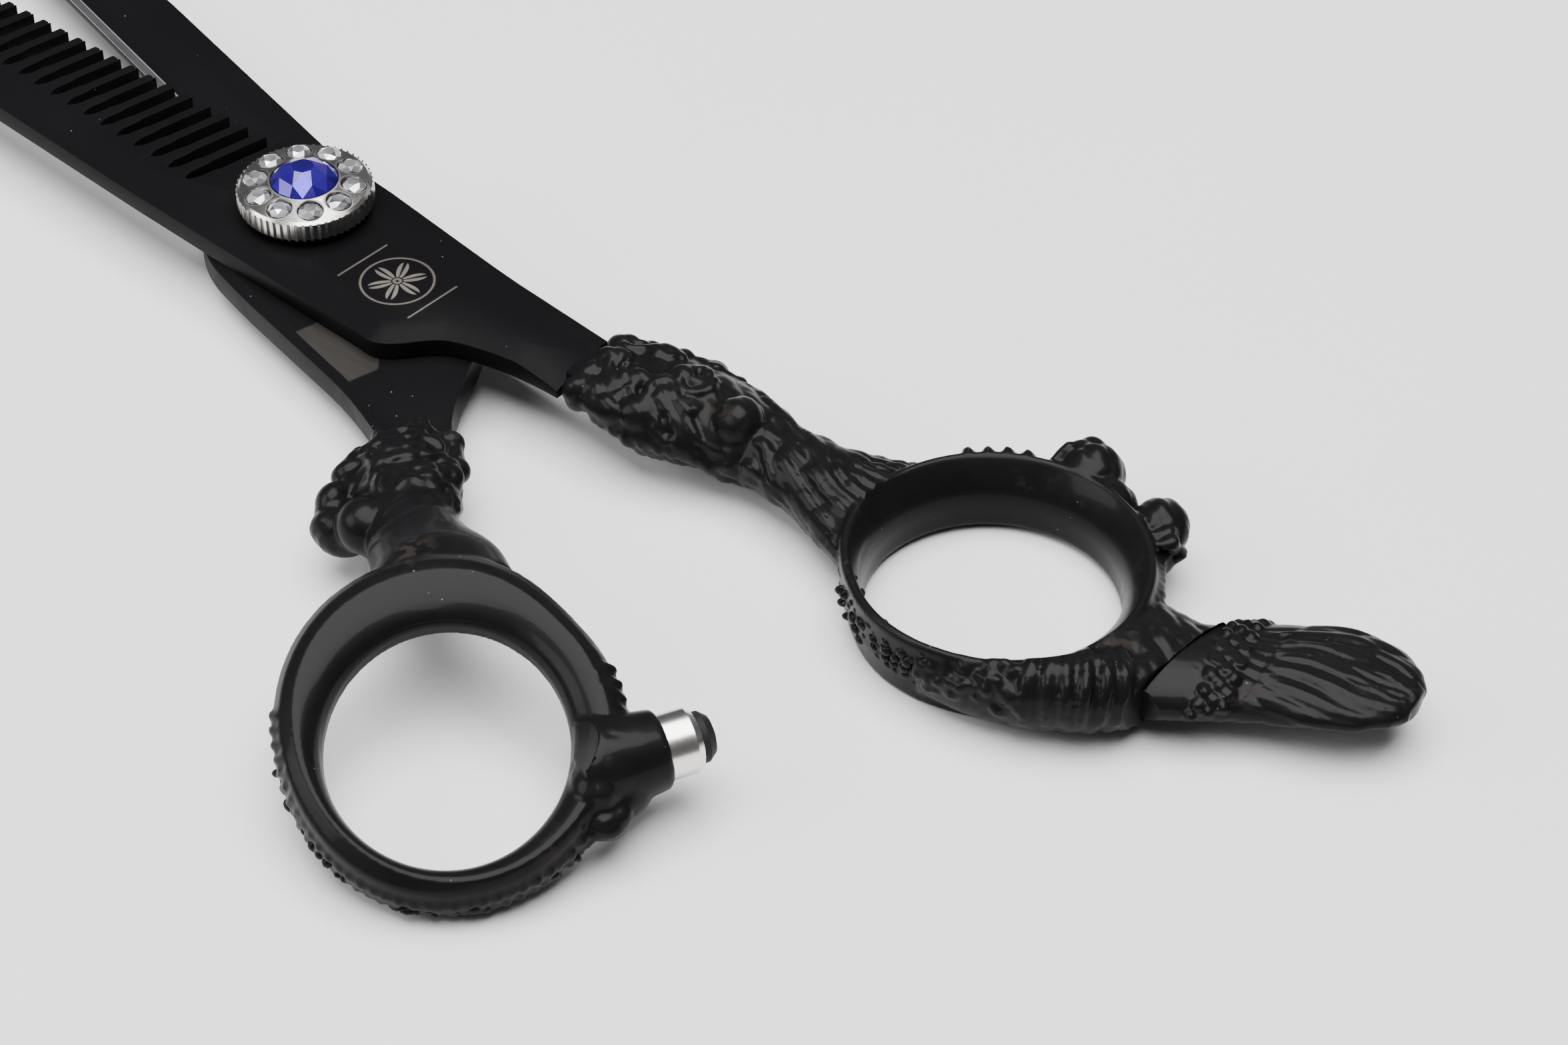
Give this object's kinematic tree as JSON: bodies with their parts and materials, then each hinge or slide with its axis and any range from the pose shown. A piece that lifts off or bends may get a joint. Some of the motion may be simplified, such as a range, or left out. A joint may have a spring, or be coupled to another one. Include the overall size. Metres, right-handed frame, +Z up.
{
  "type": "thinning shears",
  "caption": "Black hairdresser's thinning shears, partly open: toothed and plain blades, cast relief handles with finger rings and rest, jewelled tension knob.",
  "frame": {"origin": "on the pivot axis, in the plane of the table that the shears lie on", "axes": "+X from the pivot towards the comb blade's tip, +Y towards the thumb ring, +Z up along the pivot axis towards the tension knob"},
  "size_m": [0.1931, 0.0808, 0.0145],
  "materials": {
    "comb_coating": "satin black coating on steel",
    "bush_bronze": "turned bronze",
    "finger_casting": "glossy black coating on a relief casting",
    "rest_casting": "glossy black coating on a relief casting",
    "stud_steel": "plain steel",
    "blade_coating": "satin black coating with a ground edge",
    "thumb_casting": "glossy black coating on a relief casting",
    "sleeve_chrome": "bright plating",
    "pad_rubber": "matte",
    "bumper_screw_steel": "plain steel",
    "screw_coating": "satin black coating on steel",
    "glide_polymer": "smooth",
    "pressure_steel": "plain steel",
    "spring_steel": "spring steel",
    "keyed_steel": "plain steel",
    "knob_nickel": "bright nickel, knurled side",
    "insert_brass": "turned",
    "ball_steel": "polished",
    "blue_crystal": "cut and polished, deep blue",
    "clear_crystal": "cut and polished, foiled"
  },
  "bodies": {
    "finger_half": {"comb_blade": "comb_coating", "pivot_bush": "bush_bronze", "finger_handle": "finger_casting", "finger_rest": "rest_casting", "finger_rest_stud": "stud_steel"},
    "thumb_half": {"plain_blade": "blade_coating", "thumb_handle": "thumb_casting", "bumper_sleeve": "sleeve_chrome", "bumper_pad": "pad_rubber", "bumper_screw": "bumper_screw_steel", "pivot_screw": "screw_coating", "glide_washer": "glide_polymer", "pressure_washer": "pressure_steel", "tension_spring": "spring_steel", "keyed_washer": "keyed_steel"},
    "tension_knob": {"knob_body": "knob_nickel", "knob_insert": "insert_brass", "click_ball": "ball_steel", "centre_crystal": "blue_crystal", "rim_crystals": "clear_crystal"}
  },
  "joints": [
    {"name": "blade_pivot", "type": "hinge", "parent": "finger_half", "child": "thumb_half", "pos_m": [0, 0, 0], "axis": [0, 0, 1], "range_deg": [-75, 12.2]},
    {"name": "tension_knob_turn", "type": "hinge", "parent": "thumb_half", "child": "tension_knob", "pos_m": [0, 0, 0], "axis": [0, 0, 1], "range_deg": [-180, 180]}
  ]
}
